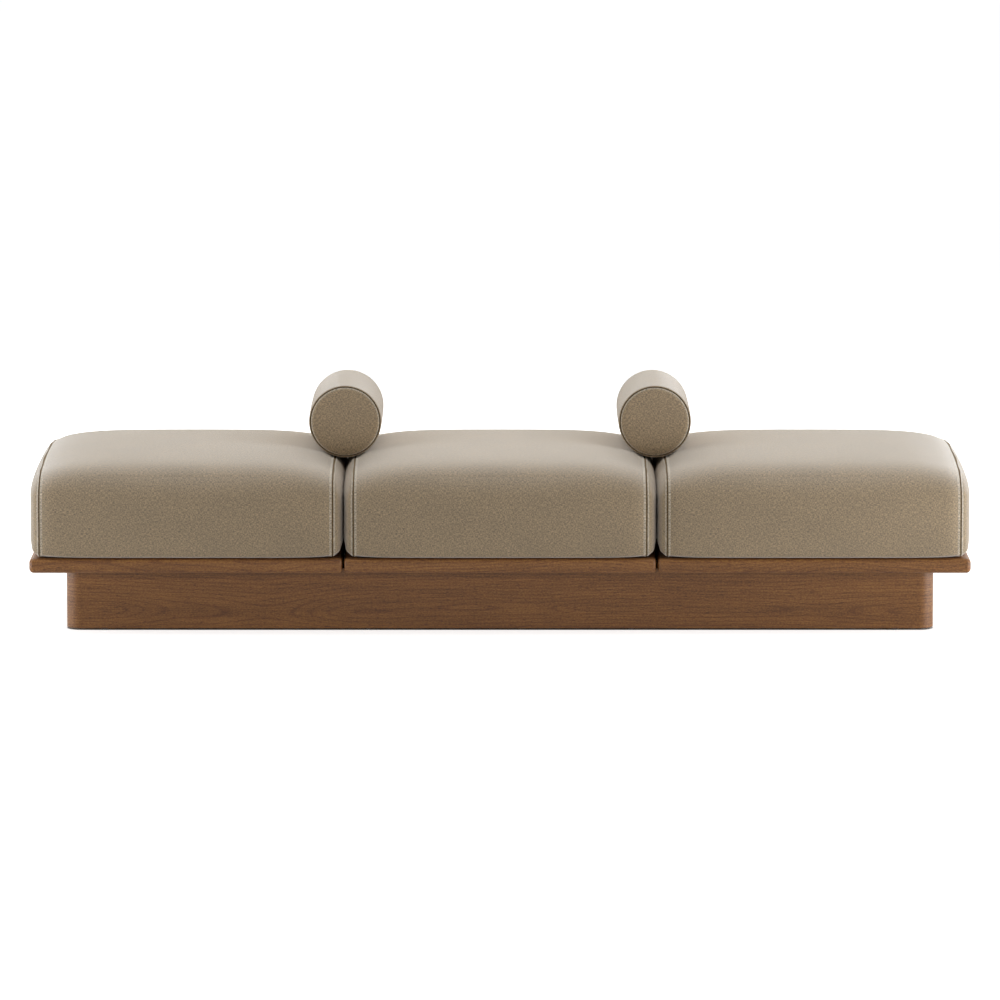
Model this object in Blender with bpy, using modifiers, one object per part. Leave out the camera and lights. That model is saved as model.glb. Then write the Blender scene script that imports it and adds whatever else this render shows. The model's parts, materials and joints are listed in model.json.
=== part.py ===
"""A backless three-seat modular sofa: plinth, deck boards, loose seat cushions and bolsters."""

import math

import bmesh
import bpy
from mathutils import Vector
from mathutils.bvhtree import BVHTree

# Sizes are in metres. X runs along the sofa, the front faces -Y and the floor is at Z = 0.

# Seat modules and their deck boards
SEATS = ("left", "middle", "right")
MODULE_PITCH = 0.800
DECK_DEPTH = 0.800
DECK_THICKNESS = 0.038
DECK_GAP = 0.0035
DECK_EDGE_RADIUS = 0.012
DECK_JOINT_RADIUS = 0.005

# Plinth
PLINTH_HEIGHT = 0.155
END_OVERHANG = 0.088
FRONT_OVERHANG = 0.088
PLINTH_CORNER_RADIUS = 0.038
VENEER = 0.0015
BOARD_THICKNESS = 0.022
BATTEN_WIDTH = 0.040
BATTEN_HEIGHT = 0.040
BEARER_WIDTH = 0.060
BEARER_HEIGHT = 0.090
CORNER_STEPS = 6

# Fastenings and floor glides
SCREW_JOINT_DISTANCE = 0.150
SCREW_END_DISTANCE = 0.0237
SCREW_RADIUS = 0.0025
SCREW_BITE = 0.020
SCREW_HEAD_RADIUS = 0.006
SCREW_HEAD_HEIGHT = 0.003
GLIDE_HEIGHT = 0.004
GLIDE_RADIUS = 0.010
GLIDE_STEM_RADIUS = 0.002
GLIDE_STEM_LENGTH = 0.015
GLIDE_COUNT = 4
GLIDE_END_DISTANCE = 0.100
ROUND_SIDES = 12

# Seat cushions
SEAT_GAP = 0.0008
SEAT_INSET = 0.006
SEAT_HEIGHT = 0.228
SEAT_CROWN = 0.024
SEAT_DOME = 0.022
SEAT_BELLY = 0.005
SHOULDER_DEPTH = 0.095
SHOULDER_DROP = 0.073
FOOT_RADIUS = 0.009
CORNER_LIFT = 0.006
EDGE_ROLL = 0.004
ROLL_REACH = 0.025
SIDE_BULGE = 0.0266
END_BULGE = 0.0236
TOP_REACH = 0.060
FOOT_REACH = 0.055
FRONT_REACH = 0.040
COVER_WALL = 0.003
SEAT_CUTS = (9, 9, 5)
EDGE_CROWDING = 2.2

# Bolsters
BOLSTERS = {"left": -1, "right": 1}
BOLSTER_RADIUS = 0.0945
BOLSTER_LENGTH = 0.337
BOLSTER_FRONT = -0.105
BOLSTER_BARREL = 0.0008
BOLSTER_EDGE = 0.006
BOLSTER_DENT = 0.0068
DENT_REACH = 0.030
DENT_RUNOUT = 0.050
PANEL_SEAM = 0.0050
PANEL_DOME = 0.004
WELT_RADIUS = 0.0015
BOLSTER_STEPS = 32
WELT_SIDES = 6

# Clearances
FIT_GAP = 0.0003
HOLE_GAP = 0.0003
FOAM_GAP = 0.0006
CLOTH_GAP = 0.0012
SEATING_GAP = 0.0004

DECK_BOTTOM = GLIDE_HEIGHT + FIT_GAP + PLINTH_HEIGHT + FIT_GAP
DECK_TOP = DECK_BOTTOM + DECK_THICKNESS
SEAT_BOTTOM = DECK_TOP + FIT_GAP
PLINTH_BOTTOM = GLIDE_HEIGHT + FIT_GAP
PLINTH_TOP = PLINTH_BOTTOM + PLINTH_HEIGHT
PLINTH_LENGTH = len(SEATS) * MODULE_PITCH - 2 * END_OVERHANG
PLINTH_DEPTH = DECK_DEPTH - 2 * FRONT_OVERHANG
FRAME_LENGTH = PLINTH_LENGTH - 2 * (VENEER + FIT_GAP)
FRAME_DEPTH = PLINTH_DEPTH - 2 * (VENEER + FIT_GAP)
FRAME_RADIUS = PLINTH_CORNER_RADIUS - VENEER - FIT_GAP
SEAM_X = MODULE_PITCH / 2 - SEAT_GAP / 2 - SIDE_BULGE


def clear_scene():
    for obj in list(bpy.data.objects):
        bpy.data.objects.remove(obj, do_unlink=True)


def make_collection(name):
    collection = bpy.data.collections.new(name)
    bpy.context.scene.collection.children.link(collection)
    return collection


def make_material(name, colour, roughness, metallic=0.0):
    material = bpy.data.materials.new(name)
    material.use_nodes = True
    shader = material.node_tree.nodes["Principled BSDF"]
    shader.inputs["Base Color"].default_value = (*colour, 1.0)
    shader.inputs["Roughness"].default_value = roughness
    shader.inputs["Metallic"].default_value = metallic
    material.diffuse_color = (*colour, 1.0)
    return material


def add_object(name, data, material, location=(0, 0, 0)):
    obj = bpy.data.objects.new(name, data)
    parts.objects.link(obj)
    obj.location = location
    if material:
        obj.data.materials.append(material)
    return obj


def add_bmesh(name, bm, material, location=(0, 0, 0)):
    mesh = bpy.data.meshes.new(name)
    bm.to_mesh(mesh)
    bm.free()
    return add_object(name, mesh, material, location)


def smooth(obj, angle=40):
    obj.data.shade_smooth()
    obj.data.set_sharp_from_angle(angle=math.radians(angle))


def box_bmesh(size):
    bm = bmesh.new()
    bmesh.ops.create_cube(bm, size=1)
    bmesh.ops.scale(bm, vec=size, verts=bm.verts)
    return bm


def add_box(name, low, high, material):
    size = [b - a for a, b in zip(low, high)]
    middle = [(a + b) / 2 for a, b in zip(low, high)]
    return add_bmesh(name, box_bmesh(size), material, middle)


def add_turned(name, profile, material, location, steps, ring=False):
    """Turns a profile of (radius, height) points about Z. A ring's profile closes on itself."""
    mesh = bpy.data.meshes.new(name)
    edges = [(i, i + 1) for i in range(len(profile) - 1)]
    if ring:
        edges.append((len(profile) - 1, 0))
    mesh.from_pydata([(r, 0, z) for r, z in profile], edges, [])
    obj = add_object(name, mesh, material, location)
    screw = obj.modifiers.new("Turn", "SCREW")
    screw.steps = steps
    screw.render_steps = steps
    screw.use_merge_vertices = True
    screw.merge_threshold = 0.00001
    return obj


def add_outline(name, loops, bottom, height, material):
    """Raises one flat outline, with any holes in it, to the given height."""
    curve = bpy.data.curves.new(name, "CURVE")
    curve.dimensions = "2D"
    curve.fill_mode = "BOTH"
    curve.extrude = height / 2
    for loop in loops:
        spline = curve.splines.new("POLY")
        spline.points.add(len(loop) - 1)
        for point, (x, y) in zip(spline.points, loop):
            point.co = (x, y, 0, 1)
        spline.use_cyclic_u = True
    return add_object(name, curve, material, (0, 0, bottom + height / 2))


def drill(obj, name, radius, bottom, top, spots):
    """Cuts upright round holes at the given (x, y) spots."""
    bm = bmesh.new()
    for x, y in spots:
        made = bmesh.ops.create_cone(
            bm, cap_ends=True, segments=ROUND_SIDES, radius1=radius, radius2=radius, depth=top - bottom
        )
        bmesh.ops.translate(bm, vec=(x, y, (top + bottom) / 2), verts=made["verts"])
    cutter = add_bmesh(name, bm, None)
    parts.objects.unlink(cutter)
    cutters.objects.link(cutter)
    cutter.hide_render = True
    cutter.display_type = "WIRE"
    cut = obj.modifiers.new(name, "BOOLEAN")
    cut.operation = "DIFFERENCE"
    cut.solver = "EXACT"
    cut.object = cutter


def rounded_rectangle(length, depth, radius):
    points = []
    for corner in range(4):
        sx = (1, -1, -1, 1)[corner]
        sy = (1, 1, -1, -1)[corner]
        for step in range(CORNER_STEPS + 1):
            angle = math.radians(90) * (corner + step / CORNER_STEPS)
            x = sx * (length / 2 - radius) + radius * math.cos(angle)
            y = sy * (depth / 2 - radius) + radius * math.sin(angle)
            points.append((x, y))
    return points


def build_plinth():
    wrap = [
        rounded_rectangle(PLINTH_LENGTH, PLINTH_DEPTH, PLINTH_CORNER_RADIUS),
        rounded_rectangle(PLINTH_LENGTH - 2 * VENEER, PLINTH_DEPTH - 2 * VENEER, PLINTH_CORNER_RADIUS - VENEER),
    ]
    add_outline("plinth_veneer_wrap", wrap, PLINTH_BOTTOM, PLINTH_HEIGHT, veneer)

    half_x = FRAME_LENGTH / 2
    half_y = FRAME_DEPTH / 2
    run_x = board_end()
    run_y = half_y - FRAME_RADIUS - FIT_GAP
    for side, sign in (("front", -1), ("back", 1)):
        inner = sign * (half_y - BOARD_THICKNESS)
        outer = sign * half_y
        low = (-run_x, min(inner, outer), PLINTH_BOTTOM)
        high = (run_x, max(inner, outer), PLINTH_TOP)
        board = add_box(f"plinth_{side}_board", low, high, timber)
        spots = [(x, sign * (half_y - BOARD_THICKNESS / 2)) for x in glide_places()]
        hole_top = PLINTH_BOTTOM + GLIDE_STEM_LENGTH + HOLE_GAP
        drill(board, f"glide_holes_{side}", GLIDE_STEM_RADIUS + HOLE_GAP, 0, hole_top, spots)
        build_glides(side, spots)

        near = sign * (half_y - BOARD_THICKNESS - FIT_GAP)
        far = near - sign * BATTEN_WIDTH
        low = (-run_x, min(near, far), PLINTH_TOP - BATTEN_HEIGHT)
        high = (run_x, max(near, far), PLINTH_TOP)
        batten = add_box(f"{side}_batten", low, high, timber)
        spots = [(x, sign * batten_middle()) for i in range(len(SEATS)) for x in screw_places(i)]
        under = PLINTH_TOP - 2 * BATTEN_HEIGHT
        drill(batten, f"screw_holes_{side}", SCREW_RADIUS + HOLE_GAP, under, DECK_TOP, spots)

        for end, end_sign in (("left", -1), ("right", 1)):
            build_corner_post(f"plinth_corner_post_{side}_{end}", end_sign, sign)

    for end, sign in (("left", -1), ("right", 1)):
        inner = sign * (half_x - BOARD_THICKNESS)
        outer = sign * half_x
        low = (min(inner, outer), -run_y, PLINTH_BOTTOM)
        high = (max(inner, outer), run_y, PLINTH_TOP)
        add_box(f"plinth_{end}_board", low, high, timber)

        joint = sign * MODULE_PITCH / 2
        reach = batten_middle() - BATTEN_WIDTH / 2 - FIT_GAP
        low = (joint - BEARER_WIDTH / 2, -reach, PLINTH_TOP - BEARER_HEIGHT)
        high = (joint + BEARER_WIDTH / 2, reach, PLINTH_TOP)
        add_box(f"cross_bearer_{end}", low, high, timber)


def build_corner_post(name, sign_x, sign_y):
    centre_x = sign_x * (FRAME_LENGTH / 2 - FRAME_RADIUS)
    centre_y = sign_y * (FRAME_DEPTH / 2 - FRAME_RADIUS)
    outline = [(centre_x, centre_y)]
    for step in range(CORNER_STEPS + 1):
        angle = math.radians(90) * step / CORNER_STEPS
        x = centre_x + sign_x * FRAME_RADIUS * math.cos(angle)
        y = centre_y + sign_y * FRAME_RADIUS * math.sin(angle)
        outline.append((x, y))
    add_outline(name, [outline], PLINTH_BOTTOM, PLINTH_HEIGHT, timber)


def glide_places():
    reach = FRAME_LENGTH / 2 - GLIDE_END_DISTANCE
    return [-reach + 2 * reach * i / (GLIDE_COUNT - 1) for i in range(GLIDE_COUNT)]


def build_glides(side, spots):
    stem_top = GLIDE_HEIGHT + GLIDE_STEM_LENGTH
    profile = [
        (0, stem_top),
        (GLIDE_STEM_RADIUS, stem_top),
        (GLIDE_STEM_RADIUS, GLIDE_HEIGHT),
        (GLIDE_RADIUS, GLIDE_HEIGHT),
        (GLIDE_RADIUS, 0),
        (0, 0),
    ]
    for number, (x, y) in enumerate(spots, 1):
        glide = add_turned(f"glide_{side}_{number}", profile, plastic, (x, y, 0), ROUND_SIDES)
        smooth(glide)


def batten_middle():
    return FRAME_DEPTH / 2 - BOARD_THICKNESS - FIT_GAP - BATTEN_WIDTH / 2


def module_centre(index):
    return (index - (len(SEATS) - 1) / 2) * MODULE_PITCH


def board_end():
    return FRAME_LENGTH / 2 - FRAME_RADIUS - FIT_GAP


def screw_places(index):
    """The two places along a deck where it is screwed to a batten."""
    left = module_centre(index) - MODULE_PITCH / 2 + SCREW_JOINT_DISTANCE
    right = module_centre(index) + MODULE_PITCH / 2 - SCREW_JOINT_DISTANCE
    if index == 0:
        left = SCREW_END_DISTANCE - board_end()
    if index == len(SEATS) - 1:
        right = board_end() - SCREW_END_DISTANCE
    return left, right


def build_screws(seat, spots):
    seat_z = PLINTH_TOP - BATTEN_HEIGHT - FIT_GAP
    tip = DECK_BOTTOM + SCREW_BITE
    profile = [
        (0, tip),
        (SCREW_RADIUS, tip),
        (SCREW_RADIUS, seat_z),
        (SCREW_HEAD_RADIUS, seat_z),
        (SCREW_HEAD_RADIUS, seat_z - SCREW_HEAD_HEIGHT),
        (0, seat_z - SCREW_HEAD_HEIGHT),
    ]
    for number, (x, y) in enumerate(spots, 1):
        screw = add_turned(f"deck_screw_{seat}_{number}", profile, steel, (x, y, 0), ROUND_SIDES)
        smooth(screw)


def build_decks():
    for index, seat in enumerate(SEATS):
        start = index * MODULE_PITCH + (DECK_GAP / 2 if index else 0)
        last = index == len(SEATS) - 1
        stop = (index + 1) * MODULE_PITCH - (0 if last else DECK_GAP / 2)
        shift = len(SEATS) * MODULE_PITCH / 2
        bm = box_bmesh((stop - start, DECK_DEPTH, DECK_THICKNESS))
        ends = {-1: index == 0, 1: last}
        weight = bm.edges.layers.float.new("bevel_weight_edge")
        for edge in bm.edges:
            along_x = abs(edge.verts[0].co.x - edge.verts[1].co.x) > DECK_GAP
            sign = 1 if edge.verts[0].co.x > 0 else -1
            rounded = along_x or ends[sign]
            edge[weight] = 1 if rounded else DECK_JOINT_RADIUS / DECK_EDGE_RADIUS
        middle = ((start + stop) / 2 - shift, 0, DECK_BOTTOM + DECK_THICKNESS / 2)
        deck = add_bmesh(f"deck_{seat}", bm, deck_wood, middle)
        bevel = deck.modifiers.new("Rounded edges", "BEVEL")
        bevel.limit_method = "WEIGHT"
        bevel.width = DECK_EDGE_RADIUS
        bevel.segments = 4
        spots = [(x, sign * batten_middle()) for x in screw_places(index) for sign in (-1, 1)]
        hole_top = DECK_BOTTOM + SCREW_BITE + HOLE_GAP
        drill(deck, f"pilot_holes_{seat}", SCREW_RADIUS + HOLE_GAP, 0, hole_top, spots)
        smooth(deck)
        build_screws(seat, spots)


def ease(t):
    t = min(max(t, 0.0), 1.0)
    return t * t * (3 - 2 * t)


def quarter_round(t):
    return math.sqrt(1 - (1 - min(t, 1.0)) ** 2)


def bolster_dent(x, y, seat_index):
    """How far a bolster presses the cushion top down at this place in the cushion."""
    sides = [-1] if seat_index == len(SEATS) - 1 else [1] if seat_index == 0 else [-1, 1]
    back = BOLSTER_FRONT + BOLSTER_LENGTH
    past = max(BOLSTER_FRONT - y, y - back, 0.0)
    along = 1 - ease(past / DENT_RUNOUT)
    across = max(1 - ease((SEAM_X - side * x) / DENT_REACH) for side in sides)
    return BOLSTER_DENT * along * across


def seat_point(u, v, w, seat_index, inset=0.0):
    """Maps a point of a cube from -1 to 1 onto the cushion, drawn in by inset on every side."""
    half_x = SEAM_X - inset
    half_y = DECK_DEPTH / 2 - SEAT_INSET - inset
    half_z = SEAT_HEIGHT / 2 - inset
    middle_z = SEAT_BOTTOM + SEAT_HEIGHT / 2
    reach = max(abs(v), abs(w), 0.0001)
    y = v / reach * half_y
    z = w / reach * half_z
    round_y = SHOULDER_DEPTH if z > 0 else FOOT_RADIUS
    round_z = SHOULDER_DROP if z > 0 else FOOT_RADIUS
    core_y = max(min(y, half_y - round_y), round_y - half_y)
    core_z = max(min(z, half_z - round_z), round_z - half_z)
    lean_y = (y - core_y) / round_y
    lean_z = (z - core_z) / round_z
    lean = max(math.hypot(lean_y, lean_z), 0.0001)
    if lean_y and lean_z:
        y = core_y + round_y * lean_y / lean
        z = core_z + round_z * lean_z / lean
    height = ease((z + half_z) / (2 * half_z))
    upper = max(z / half_z, 0.0)
    lower = max(-z / half_z, 0.0)
    z += upper * (SEAT_CROWN * (1 - u ** 4) - SEAT_DOME * (y / half_y) ** 2)
    z += lower * CORNER_LIFT * abs(u * v / reach) ** 8
    z -= upper * bolster_dent(u * half_x, y, seat_index)
    roll = max(1 - SEAM_X * (1 - abs(u)) / ROLL_REACH, 0.0)
    y -= (SEAT_BELLY * u * u + EDGE_ROLL * roll * roll) * (y / half_y) * height
    y *= reach
    z *= reach
    x = u * half_x
    if abs(u) > 0.9999:
        fullness = quarter_round(half_y * (1 - abs(v)) / FRONT_REACH)
        fullness *= quarter_round(half_z * (1 - w) / TOP_REACH)
        fullness *= math.sin(min(half_z * (1 + w) / FOOT_REACH, 1) * math.pi / 2)
        outer_end = module_centre(seat_index) * u > 0
        x += math.copysign((END_BULGE if outer_end else SIDE_BULGE) * fullness, u)
    return Vector((x, y, z + middle_z))


def spread(t):
    """Crowds evenly spaced places from -1 to 1 towards the ends."""
    return math.copysign(1 - (1 - abs(t)) ** EDGE_CROWDING, t)


def seat_bmesh(seat_index, inset):
    bm = bmesh.new()
    bmesh.ops.create_cube(bm, size=2)
    for axis in range(3):
        run = [e for e in bm.edges if abs(e.verts[0].co[axis] - e.verts[1].co[axis]) > 1]
        bmesh.ops.subdivide_edges(bm, edges=run, cuts=SEAT_CUTS[axis], use_grid_fill=True)
    for vert in bm.verts:
        u, v, w = (spread(t) for t in vert.co)
        vert.co = seat_point(u, v, w, seat_index, inset)
    return bm


def build_seats():
    rim = spread(1 - 2 / (SEAT_CUTS[0] + 1))
    for index, seat in enumerate(SEATS):
        place = (module_centre(index), 0, 0)
        bm = seat_bmesh(index, 0.0)
        corner = seat_point(rim, 0, -1, index)
        side = seat_point(0, rim, -1, index)
        floor = [
            face
            for face in bm.faces
            if face.normal.z < -0.7
            and abs(face.calc_center_median().x) < corner.x
            and abs(face.calc_center_median().y) < side.y
        ]
        bmesh.ops.delete(bm, geom=floor, context="FACES")
        cover = add_bmesh(f"seat_cover_{seat}", bm, fabric, place)
        wall = cover.modifiers.new("Cover wall", "SOLIDIFY")
        wall.thickness = COVER_WALL
        wall.offset = -1
        smooth(cover)

        bm = seat_bmesh(index, COVER_WALL + FOAM_GAP)
        smooth(add_bmesh(f"seat_foam_{seat}", bm, foam, place))

        low = (place[0] - corner.x + CLOTH_GAP, -side.y + CLOTH_GAP, SEAT_BOTTOM)
        high = (place[0] + corner.x - CLOTH_GAP, side.y - CLOTH_GAP, SEAT_BOTTOM + COVER_WALL)
        add_box(f"seat_base_cloth_{seat}", low, high, base_cloth)


def build_bolster(name, x):
    """One bolster on an upright parent at its middle, its own axis lying front to back."""
    half = BOLSTER_LENGTH / 2
    carrier = bpy.data.objects.new(f"bolster_{name}_middle", None)
    parts.objects.link(carrier)
    carrier.location = (x, BOLSTER_FRONT + half, SEAT_BOTTOM + 2 * SEAT_HEIGHT)
    carrier.rotation_euler = (math.radians(90), 0, 0)

    end_radius = BOLSTER_RADIUS - BOLSTER_BARREL
    seam = BOLSTER_RADIUS - PANEL_SEAM
    mouth = seam + WELT_RADIUS + FIT_GAP
    upper = [
        (mouth, half),
        (mouth + 0.7 * (end_radius - mouth), half - 0.25 * BOLSTER_EDGE),
        (end_radius, half - BOLSTER_EDGE),
        (BOLSTER_RADIUS - 0.3 * BOLSTER_BARREL, 0.5 * half),
    ]
    outer = upper + [(BOLSTER_RADIUS, 0)] + [(r, -z) for r, z in reversed(upper)]
    inner_radius = end_radius - COVER_WALL
    inner_edge = half - BOLSTER_EDGE - COVER_WALL
    inner = [(mouth, -half + COVER_WALL), (inner_radius, -inner_edge)]
    inner += [(inner_radius, inner_edge), (mouth, half - COVER_WALL)]
    pieces = [add_turned(f"bolster_cover_{name}", outer + inner, fabric, (0, 0, 0), BOLSTER_STEPS, True)]

    rim = seam - WELT_RADIUS - FIT_GAP
    for end, sign in (("front", 1), ("rear", -1)):
        front = [(0, half + PANEL_DOME), (0.6 * rim, half + 0.8 * PANEL_DOME), (rim, half)]
        back = [(rim, half - COVER_WALL), (0, half - COVER_WALL)]
        profile = front + back
        if sign < 0:
            profile = [(r, -z) for r, z in reversed(profile)]
        panel = add_turned(f"bolster_{end}_panel_{name}", profile, fabric, (0, 0, 0), BOLSTER_STEPS)
        ring = []
        for step in range(WELT_SIDES):
            angle = -2 * math.pi * step / WELT_SIDES
            ring.append((seam + WELT_RADIUS * math.cos(angle), WELT_RADIUS * math.sin(angle)))
        spot = (0, 0, sign * (half - WELT_RADIUS / 2))
        welt = add_turned(f"bolster_{end}_welt_{name}", ring, dark_welt, spot, BOLSTER_STEPS, True)
        pieces += [panel, welt]

    core_radius = min(inner_radius, mouth) - FOAM_GAP
    core_half = half - COVER_WALL - FOAM_GAP
    core = [(0, core_half), (core_radius, core_half), (core_radius, -core_half), (0, -core_half)]
    pieces.append(add_turned(f"bolster_core_{name}", core, foam, (0, 0, 0), BOLSTER_STEPS))
    for piece in pieces:
        piece.parent = carrier
        smooth(piece)
    return carrier, pieces[0]


def seat_on_cushions(carrier, tube):
    """Lowers a bolster until it lies on the cushion tops, short of them by SEATING_GAP."""
    bpy.context.view_layer.update()
    graph = bpy.context.evaluated_depsgraph_get()
    down = Vector((0, 0, -1))
    fall = 2 * SEAT_HEIGHT
    tube_mesh = tube.evaluated_get(graph).to_mesh()
    tube_points = [tube.matrix_world @ v.co for v in tube_mesh.vertices]
    tube_faces = [tuple(p.vertices) for p in tube_mesh.polygons]
    tube_tree = BVHTree.FromPolygons(tube_points, tube_faces)
    for seat in SEATS:
        cover = bpy.data.objects[f"seat_cover_{seat}"]
        mesh = cover.evaluated_get(graph).to_mesh()
        points = [cover.matrix_world @ v.co for v in mesh.vertices]
        tree = BVHTree.FromPolygons(points, [tuple(p.vertices) for p in mesh.polygons])
        for point in tube_points:
            hit = tree.ray_cast(point, down)
            if hit[0]:
                fall = min(fall, hit[3])
        for point in points:
            hit = tube_tree.ray_cast(point, -down)
            if hit[0]:
                fall = min(fall, hit[3])
    carrier.location.z -= fall - SEATING_GAP


clear_scene()
parts = make_collection("modular_sofa")
cutters = make_collection("cutters")
veneer = make_material("walnut_veneer", (0.155, 0.075, 0.036), 0.45)
deck_wood = make_material("walnut_deck", (0.185, 0.092, 0.045), 0.42)
timber = make_material("frame_timber", (0.52, 0.36, 0.20), 0.70)
steel = make_material("zinc_steel", (0.62, 0.62, 0.60), 0.35, 1.0)
plastic = make_material("glide_plastic", (0.03, 0.03, 0.03), 0.50)
fabric = make_material("woven_fabric", (0.47, 0.40, 0.32), 0.92)
dark_welt = make_material("seam_welt", (0.12, 0.09, 0.06), 0.90)
base_cloth = make_material("base_cloth", (0.06, 0.055, 0.05), 0.95)
foam = make_material("foam", (0.78, 0.70, 0.50), 0.95)

build_plinth()
build_decks()
build_seats()
for bolster, direction in BOLSTERS.items():
    middle, tube = build_bolster(bolster, direction * MODULE_PITCH / 2)
    seat_on_cushions(middle, tube)
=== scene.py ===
import json
import math

import bmesh
import bpy
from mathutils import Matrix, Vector

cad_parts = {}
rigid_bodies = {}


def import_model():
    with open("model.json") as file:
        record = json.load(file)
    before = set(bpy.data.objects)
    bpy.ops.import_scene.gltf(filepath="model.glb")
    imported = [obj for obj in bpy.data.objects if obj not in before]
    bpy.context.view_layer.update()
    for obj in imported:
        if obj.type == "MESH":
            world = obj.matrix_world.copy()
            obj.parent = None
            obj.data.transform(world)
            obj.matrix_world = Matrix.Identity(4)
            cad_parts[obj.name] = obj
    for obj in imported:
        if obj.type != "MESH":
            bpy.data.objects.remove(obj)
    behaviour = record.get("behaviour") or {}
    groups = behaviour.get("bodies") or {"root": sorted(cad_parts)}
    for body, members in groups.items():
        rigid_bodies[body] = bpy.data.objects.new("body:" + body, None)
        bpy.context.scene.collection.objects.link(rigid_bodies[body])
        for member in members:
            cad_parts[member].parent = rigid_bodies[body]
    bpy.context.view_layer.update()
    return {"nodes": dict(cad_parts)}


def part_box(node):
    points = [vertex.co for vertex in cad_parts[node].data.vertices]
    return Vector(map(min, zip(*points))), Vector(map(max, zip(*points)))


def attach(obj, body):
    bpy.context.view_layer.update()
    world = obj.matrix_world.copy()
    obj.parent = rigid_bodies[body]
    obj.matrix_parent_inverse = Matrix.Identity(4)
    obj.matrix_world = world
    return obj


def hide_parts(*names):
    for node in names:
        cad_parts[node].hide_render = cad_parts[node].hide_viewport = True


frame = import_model()
scene = bpy.context.scene
print("frame loaded:", len(frame["nodes"]), "CAD nodes")

seatNames = ("left", "middle", "right")
bolsterNames = ("left", "right")
hair = 0.0001  # what is smaller than this counts as nothing


# picking and editing

def pickNothing():
    if bpy.context.mode != "OBJECT":
        bpy.ops.object.mode_set(mode="OBJECT")
    bpy.ops.object.select_all(action="DESELECT")


def pickOnly(piece):
    pickNothing()
    piece.select_set(True)
    bpy.context.view_layer.objects.active = piece


def openMesh(piece, kind):
    pickOnly(piece)
    bpy.ops.object.mode_set(mode="EDIT")
    bpy.ops.mesh.select_mode(type=kind)
    bpy.ops.mesh.select_all(action="DESELECT")


def closeMesh():
    bpy.ops.object.mode_set(mode="OBJECT")


def pickEdges(piece, wanted):
    mesh = bmesh.from_edit_mesh(piece.data)
    for edge in mesh.edges:
        edge.select_set(wanted(edge.verts[0].co, edge.verts[1].co))
    bmesh.update_edit_mesh(piece.data)


def pickFaces(piece, wanted):
    mesh = bmesh.from_edit_mesh(piece.data)
    mesh.normal_update()
    for face in mesh.faces:
        face.select_set(wanted(face.calc_center_median(), face.normal))
    bmesh.update_edit_mesh(piece.data)


def addBlock(name, low, high):
    pickNothing()
    bpy.ops.mesh.primitive_cube_add(size=1, location=(low + high) / 2, scale=high - low)
    block = bpy.context.object
    block.name = name
    block.data.name = name
    bpy.ops.object.transform_apply(location=True, rotation=True, scale=True)
    return block


def copyPiece(piece, name, move=(0, 0, 0)):
    twin = piece.copy()
    twin.data = piece.data.copy()
    twin.name = name
    twin.data.name = name
    scene.collection.objects.link(twin)
    for vertex in twin.data.vertices:
        vertex.co += Vector(move)
    return twin


def finishPiece(piece, body, paints, nodes, angle):
    pickOnly(piece)
    bpy.ops.object.shade_smooth_by_angle(angle=math.radians(angle))
    if paints:
        piece.data.materials.clear()
        for paint in paints:
            piece.data.materials.append(paint)
    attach(piece, body)
    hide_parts(*nodes)


# finishes

def newFinish(name):
    finish = bpy.data.materials.new(name)
    finish.use_nodes = True
    return finish, finish.node_tree, finish.node_tree.nodes["Principled BSDF"]


def setSockets(node, values):
    for name, value in values.items():
        node.inputs[name].default_value = value


def objectPlace(tree):
    return tree.nodes.new("ShaderNodeTexCoord").outputs["Object"]


def uvPlace(tree, layer):
    node = tree.nodes.new("ShaderNodeUVMap")
    node.uv_map = layer
    return node.outputs["UV"]


def splitAxes(tree, source):
    node = tree.nodes.new("ShaderNodeSeparateXYZ")
    tree.links.new(source, node.inputs[0])
    return node.outputs


def addMath(tree, operation, *values):
    node = tree.nodes.new("ShaderNodeMath")
    node.operation = operation
    for socket, value in zip(node.inputs, values):
        if isinstance(value, (int, float)):
            socket.default_value = value
        else:
            tree.links.new(value, socket)
    return node.outputs[0]


def stretched(tree, source, scale, place=(0, 0, 0)):
    node = tree.nodes.new("ShaderNodeMapping")
    setSockets(node, {"Scale": scale, "Location": place})
    tree.links.new(source, node.inputs["Vector"])
    return node.outputs[0]


def noise(tree, source, scale=1.0, detail=2.0, rough=0.5):
    node = tree.nodes.new("ShaderNodeTexNoise")
    setSockets(node, {"Scale": scale, "Detail": detail, "Roughness": rough})
    tree.links.new(source, node.inputs["Vector"])
    return node.outputs["Fac"]


def ramp(tree, source, stops):
    node = tree.nodes.new("ShaderNodeValToRGB")
    elements = node.color_ramp.elements
    while len(elements) < len(stops):
        elements.new(0.5)
    for element, (place, colour) in zip(elements, stops):
        element.position = place
        parts = colour if isinstance(colour, tuple) else (colour, colour, colour)  # one number is a grey
        element.color = (*parts, 1)
    tree.links.new(source, node.inputs["Fac"])
    return node.outputs["Color"]


def tinted(tree, first, second):
    node = tree.nodes.new("ShaderNodeMix")
    node.data_type = "RGBA"
    node.blend_type = "MULTIPLY"
    node.inputs[0].default_value = 1.0
    tree.links.new(first, node.inputs[6])
    tree.links.new(second, node.inputs[7])
    return node.outputs[2]


def addBump(tree, shader, height, strength, distance):
    node = tree.nodes.new("ShaderNodeBump")
    setSockets(node, {"Strength": strength, "Distance": distance})
    tree.links.new(height, node.inputs["Height"])
    tree.links.new(node.outputs[0], shader.inputs["Normal"])


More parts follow.
